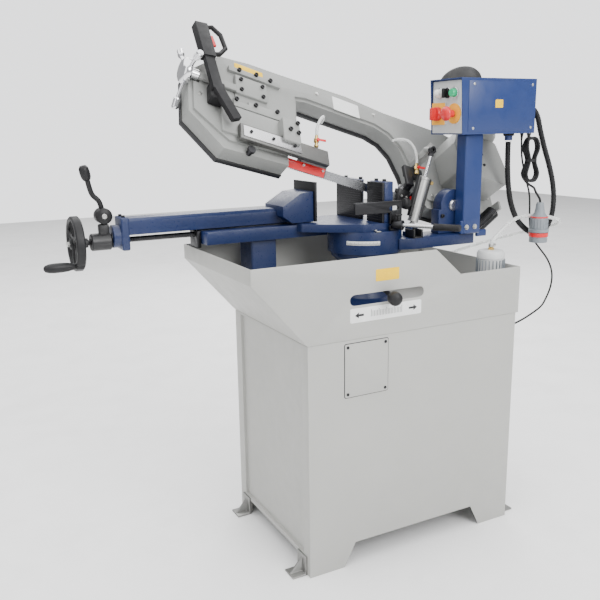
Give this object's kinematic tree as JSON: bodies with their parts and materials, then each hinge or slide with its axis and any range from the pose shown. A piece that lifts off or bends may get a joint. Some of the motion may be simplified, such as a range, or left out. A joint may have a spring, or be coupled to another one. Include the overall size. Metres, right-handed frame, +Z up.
{
  "type": "horizontal metal-cutting band saw",
  "caption": "Horizontal band saw for metal with a leaning grey saw bow on a blue mitre turntable and vice, a control box on a column, a chip tray and a sheet-metal cabinet stand.",
  "frame": {"origin": "centre of the footprint of the saw without its cords, on the floor", "axes": "+X along the blade towards the column and control box, +Y to the back, +Z up"},
  "size_m": [1.6851, 0.6468, 1.5364],
  "materials": {
    "cream_paint": "smooth powder coat",
    "grey_paint": "satin paint",
    "blue_paint": "gloss paint on castings",
    "black_paint": "satin black",
    "black_plastic": "matt moulded",
    "steel": "machined",
    "chrome": "polished",
    "red_plastic": "gloss moulded",
    "green_plastic": "gloss moulded",
    "white_plastic": "satin moulded",
    "clear_hose": "milky tube",
    "rubber": "matt"
  },
  "bodies": {
    "stand": {"cabinet": "cream_paint", "foot_front_left": "black_paint", "foot_front_right": "black_paint", "foot_rear_left": "black_paint", "foot_rear_right": "black_paint", "tray": "cream_paint", "front_panel": "cream_paint", "coolant_pump": "grey_paint", "turntable_base": "blue_paint", "vice_bed": "blue_paint", "nut_block": "black_paint", "fixed_jaw_front": "blue_paint", "fixed_jaw_rear": "blue_paint", "jaw_plate_front": "black_paint", "jaw_plate_rear": "black_paint", "stop_bracket": "black_paint", "pump_hose": "clear_hose"},
    "ram": {"ram": "blue_paint", "moving_jaw_plate": "black_paint"},
    "handwheel": {"handwheel": "black_paint"},
    "crank": {"crank_handle": "black_plastic"},
    "clamp": {"clamp_lever": "black_plastic"},
    "lock": {"lock_lever": "black_paint"},
    "stop": {"stop_rod": "black_paint"},
    "turntable": {"turntable": "blue_paint", "pivot_bracket": "blue_paint", "column": "blue_paint", "control_box": "blue_paint", "control_panel": "white_plastic", "signal_lamp": "white_plastic", "conduit": "rubber", "mains_hank": "rubber", "mains_cable": "rubber", "mains_plug": "red_plastic", "pump_cable": "rubber"},
    "bow": {"bow_casting": "grey_paint", "pivot_shaft": "steel", "blade_cover": "black_paint", "blade": "steel", "gearbox": "grey_paint", "motor": "grey_paint", "fan_cowl": "black_plastic", "right_guide": "black_paint", "handle_bar": "black_plastic"},
    "cylinder": {"feed_cylinder": "grey_paint"},
    "piston": {"piston_rod": "chrome"},
    "knob": {"feed_knob": "black_plastic"},
    "spring": {"return_spring": "black_paint"},
    "main_switch": {"main_switch": "red_plastic"},
    "emergency_stop": {"emergency_stop": "red_plastic"},
    "selector": {"selector": "black_plastic"},
    "start_button": {"start_button": "green_plastic"},
    "drive": {"drive_wheel": "grey_paint", "drive_shaft": "steel"},
    "tension": {"tension_slide": "grey_paint"},
    "idler": {"idler_wheel": "grey_paint"},
    "hub": {"tension_hub": "steel"},
    "guide": {"guide_bar": "black_paint", "left_guide": "black_paint"},
    "trigger": {"trigger": "red_plastic"}
  },
  "joints": [
    {"name": "ram_slide", "type": "slide", "parent": "stand", "child": "ram", "axis": [-1, 0, 0], "range_m": [-0.14, 0.012]},
    {"name": "handwheel_turn", "type": "hinge", "parent": "ram", "child": "handwheel", "pos_m": [-0.69497, 0.14733, 0.943], "axis": [1, 0, 0], "range_deg": [-864, 10080]},
    {"name": "crank_spin", "type": "hinge", "parent": "handwheel", "child": "crank", "pos_m": [-0.70227, 0.10653, 0.8886], "axis": [1, 0, 0], "continuous": true},
    {"name": "clamp_lever_turn", "type": "hinge", "parent": "ram", "child": "clamp", "pos_m": [-0.61197, 0.14733, 1.014], "axis": [0, 1, 0], "range_deg": [0, 60]},
    {"name": "lock_lever_turn", "type": "hinge", "parent": "stand", "child": "lock", "pos_m": [0.16303, 0.03033, 0.79], "axis": [0, 0, 1], "range_deg": [-5, 17]},
    {"name": "stop_slide", "type": "slide", "parent": "stand", "child": "stop", "axis": [0.5369, -0.8437, 0], "range_m": [-0.005, 0.02]},
    {"name": "mitre_turn", "type": "hinge", "parent": "stand", "child": "turntable", "pos_m": [0.16303, 0.03033, 0.9], "axis": [0, 0, 1], "range_deg": [0, 45]},
    {"name": "bow_tilt", "type": "hinge", "parent": "turntable", "child": "bow", "pos_m": [0.44243, -0.03267, 0.9955], "axis": [0, 1, 0], "range_deg": [-17.2, 13.5], "deforming": ["return_spring"]},
    {"name": "cylinder_swing", "type": "hinge", "parent": "turntable", "child": "cylinder", "pos_m": [0.30003, -0.02467, 0.936], "axis": [0, 1, 0], "range_deg": [-10.5, 10.5]},
    {"name": "piston_slide", "type": "slide", "parent": "cylinder", "child": "piston", "axis": [0.3039, 0, 0.9527], "range_m": [-0.036, 0.036]},
    {"name": "feed_knob_turn", "type": "hinge", "parent": "cylinder", "child": "knob", "pos_m": [0.296, -0.02467, 1.00236], "axis": [-0.9527, 0, 0.3039], "range_deg": [0, 270]},
    {"name": "spring_swing", "type": "hinge", "parent": "turntable", "child": "spring", "pos_m": [0.53603, -0.03667, 0.905], "axis": [0, 1, 0], "range_deg": [-22, 22]},
    {"name": "main_switch_turn", "type": "hinge", "parent": "turntable", "child": "main_switch", "pos_m": [0.40473, -0.01067, 1.276], "axis": [1, 0, 0], "range_deg": [0, 90]},
    {"name": "selector_turn", "type": "hinge", "parent": "turntable", "child": "selector", "pos_m": [0.41043, -0.04717, 1.337], "axis": [1, 0, 0], "range_deg": [-45, 45]},
    {"name": "start_press", "type": "slide", "parent": "turntable", "child": "start_button", "axis": [1, 0, 0], "range_m": [0, 0.004], "stiffness_N_per_m": 400, "springref_m": -0.002},
    {"name": "emergency_press", "type": "slide", "parent": "turntable", "child": "emergency_stop", "axis": [1, 0, 0], "range_m": [0, 0.006], "stiffness_N_per_m": 600, "springref_m": -0.002},
    {"name": "drive_spin", "type": "hinge", "parent": "bow", "child": "drive", "pos_m": [0.54419, 0.11652, 1.05757], "axis": [-0.1821, 0.788, -0.5881], "continuous": true},
    {"name": "tension_move", "type": "slide", "parent": "bow", "child": "tension", "axis": [0.9553, 0, -0.2957], "range_m": [0, 0.008]},
    {"name": "hub_turn", "type": "hinge", "parent": "bow", "child": "hub", "pos_m": [-0.33381, 0.1084, 1.38648], "axis": [0.9553, 0, -0.2957], "range_deg": [0, 1081]},
    {"name": "idler_spin", "type": "hinge", "parent": "tension", "child": "idler", "pos_m": [-0.22194, 0.11652, 1.29473], "axis": [-0.1821, 0.788, -0.5881], "continuous": true},
    {"name": "guide_move", "type": "slide", "parent": "bow", "child": "guide", "axis": [0.9553, 0, -0.2957], "range_m": [-0.03, 0.03]},
    {"name": "trigger_press", "type": "hinge", "parent": "bow", "child": "trigger", "pos_m": [-0.27874, 0.15887, 1.49658], "axis": [-0.1821, 0.788, -0.5881], "range_deg": [0, 6], "stiffness_Nm_per_rad": 2, "springref_deg": -2.86}
  ],
  "couplings": [
    {"joint": "ram_slide", "follows": "handwheel_turn", "m_per_rad": -0.00079577},
    {"joint": "cylinder_swing", "follows": "bow_tilt", "ratio": 0.59},
    {"joint": "piston_slide", "follows": "bow_tilt", "m_per_rad": 0.117},
    {"joint": "spring_swing", "follows": "bow_tilt", "ratio": 1.25},
    {"joint": "idler_spin", "follows": "drive_spin", "ratio": 1},
    {"joint": "hub_turn", "follows": "tension_move", "rad_per_m": 2356.2}
  ]
}
